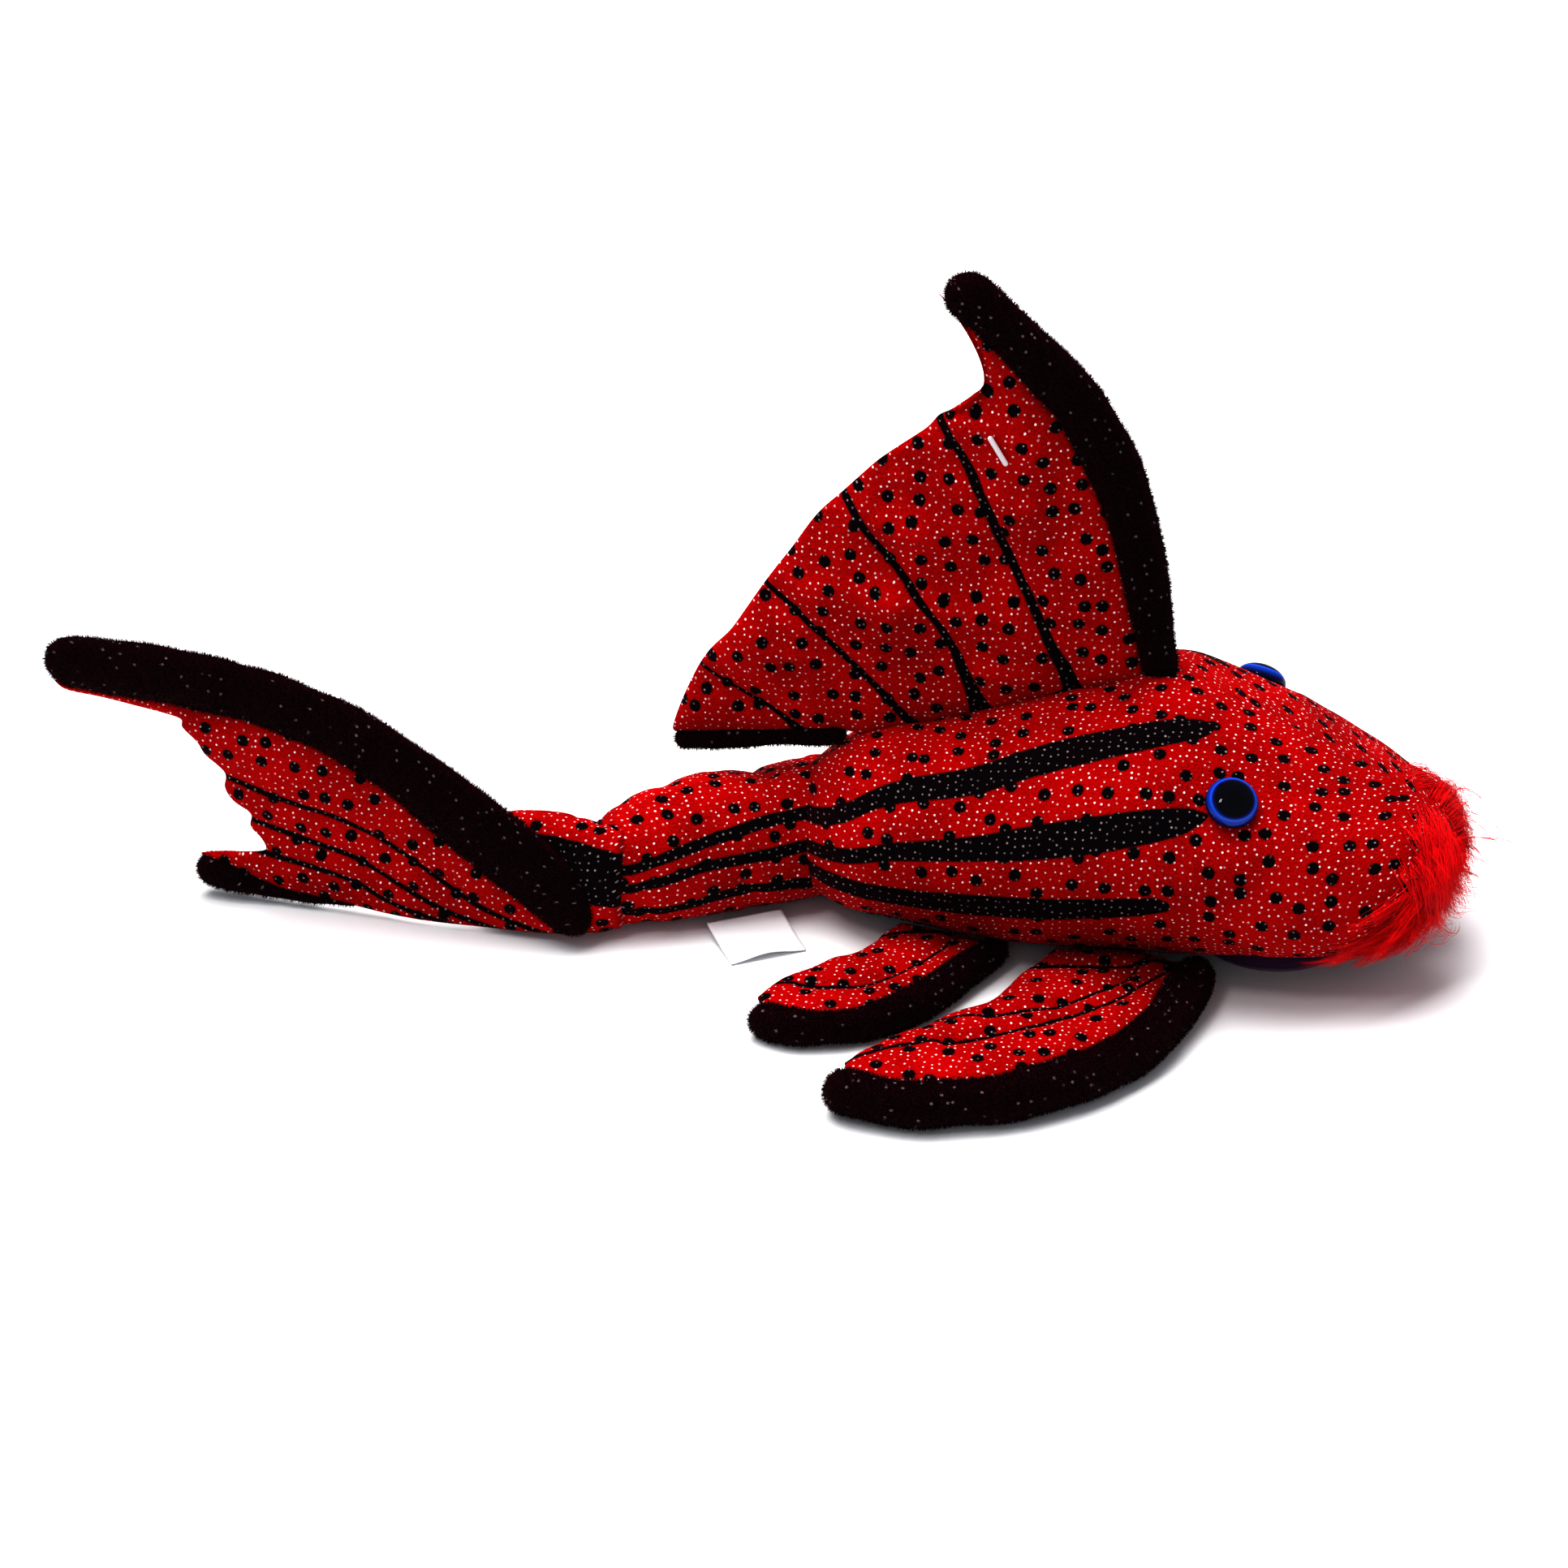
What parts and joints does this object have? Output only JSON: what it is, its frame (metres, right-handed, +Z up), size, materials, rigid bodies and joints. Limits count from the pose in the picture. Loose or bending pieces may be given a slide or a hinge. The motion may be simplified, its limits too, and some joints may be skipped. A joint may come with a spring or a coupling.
{
  "type": "plush suckermouth catfish",
  "caption": "Stuffed red plush suckermouth catfish with padded flapping fins, a bending tail, a fur mouth and a suction cup under its head.",
  "frame": {"origin": "middle of the whole object's box, on the surface it lies on", "axes": "+X towards the snout, +Y towards the fish's left, +Z up out of its back"},
  "size_m": [0.387, 0.2452, 0.1854],
  "materials": {
    "printed_pile": "short red pile with black dots, black bands and small foil specks",
    "black_plush": "deep black plush with a wine-red sheen",
    "red_fur": "long bright red pile",
    "wadding": "loose white polyester fibre",
    "satin": "blank white satin ribbon",
    "eye_plastic": "polished clear dome over a blue ring and a black pupil",
    "washer_plastic": "moulded natural plastic",
    "cup_vinyl": "soft see-through purple vinyl",
    "pin_plastic": "frosted white moulding"
  },
  "bodies": {
    "trunk": {"body_side_left": "printed_pile", "body_side_right": "printed_pile", "belly_panel": "black_plush", "trunk_stuffing": "wadding", "mouth_patch": "red_fur", "snout_fur": "red_fur", "eye_left": "eye_plastic", "eye_right": "eye_plastic", "eye_washer_left": "washer_plastic", "eye_washer_right": "washer_plastic"},
    "suction_cup_body": {"suction_cup": "cup_vinyl"},
    "dorsal_fin": {"dorsal_seam": "printed_pile", "dorsal_edge_front": "black_plush", "dorsal_edge_rear": "black_plush", "dorsal_web_left": "printed_pile", "dorsal_web_right": "printed_pile", "dorsal_batting": "wadding", "tag_fastener": "pin_plastic"},
    "tail_stalk": {"tail_stalk_side_left": "printed_pile", "tail_stalk_side_right": "printed_pile", "tail_stalk_stuffing": "wadding"},
    "label_flap": {"care_label": "satin"},
    "tail_fin": {"tail_root_side_left": "printed_pile", "tail_root_side_right": "printed_pile", "tail_root_stuffing": "wadding", "tail_edge_upper": "black_plush", "tail_edge_lower": "black_plush", "tail_web_left": "printed_pile", "tail_web_right": "printed_pile", "tail_batting": "wadding"},
    "pectoral_left_fin": {"pectoral_left_seam": "printed_pile", "pectoral_left_edge": "black_plush", "pectoral_left_web_upper": "printed_pile", "pectoral_left_web_lower": "printed_pile", "pectoral_left_batting": "wadding"},
    "pectoral_right_fin": {"pectoral_right_seam": "printed_pile", "pectoral_right_edge": "black_plush", "pectoral_right_web_upper": "printed_pile", "pectoral_right_web_lower": "printed_pile", "pectoral_right_batting": "wadding"},
    "pelvic_left_fin": {"pelvic_left_seam": "printed_pile", "pelvic_left_edge": "black_plush", "pelvic_left_web_upper": "printed_pile", "pelvic_left_web_lower": "printed_pile", "pelvic_left_batting": "wadding"},
    "pelvic_right_fin": {"pelvic_right_seam": "printed_pile", "pelvic_right_edge": "black_plush", "pelvic_right_web_upper": "printed_pile", "pelvic_right_web_lower": "printed_pile", "pelvic_right_batting": "wadding"}
  },
  "joints": [
    {"name": "suction_cup_swivel", "type": "hinge", "parent": "trunk", "child": "suction_cup_body", "pos_m": [0.14598, 0, 0], "axis": [0, 0, 1], "continuous": true},
    {"name": "dorsal_fin_lean", "type": "hinge", "parent": "trunk", "child": "dorsal_fin", "pos_m": [0.07142, 0, 0.0655], "axis": [0.9511, 0, 0.3089], "range_deg": [-30, 30], "stiffness_Nm_per_rad": 0.03},
    {"name": "tail_stalk_bend", "type": "hinge", "parent": "trunk", "child": "tail_stalk", "pos_m": [0.01598, 0, 0], "axis": [0, 0, 1], "range_deg": [-75, 20]},
    {"name": "tail_fin_bend", "type": "hinge", "parent": "tail_stalk", "child": "tail_fin", "pos_m": [-0.04052, -0.037, 0], "axis": [0, 0, 1], "range_deg": [-30, 40]},
    {"name": "care_label_flap", "type": "hinge", "parent": "tail_stalk", "child": "label_flap", "pos_m": [0.00864, -0.01618, 0.00178], "axis": [-0.8368, -0.5476, 0], "range_deg": [-80, 15]},
    {"name": "pectoral_left_flap", "type": "hinge", "parent": "trunk", "child": "pectoral_left_fin", "pos_m": [0.11048, 0.03162, 0.0066], "axis": [0.9888, -0.1491, 0], "range_deg": [-30, 15]},
    {"name": "pectoral_right_flap", "type": "hinge", "parent": "trunk", "child": "pectoral_right_fin", "pos_m": [0.11048, -0.03162, 0.0066], "axis": [-0.9888, -0.1491, 0], "range_deg": [-30, 15]},
    {"name": "pelvic_left_flap", "type": "hinge", "parent": "trunk", "child": "pelvic_left_fin", "pos_m": [0.06098, 0.02888, 0.005], "axis": [0.9889, 0.1486, 0], "range_deg": [-30, 25]},
    {"name": "pelvic_right_flap", "type": "hinge", "parent": "trunk", "child": "pelvic_right_fin", "pos_m": [0.06098, -0.02888, 0.005], "axis": [-0.9889, 0.1486, 0], "range_deg": [-30, 25]}
  ]
}
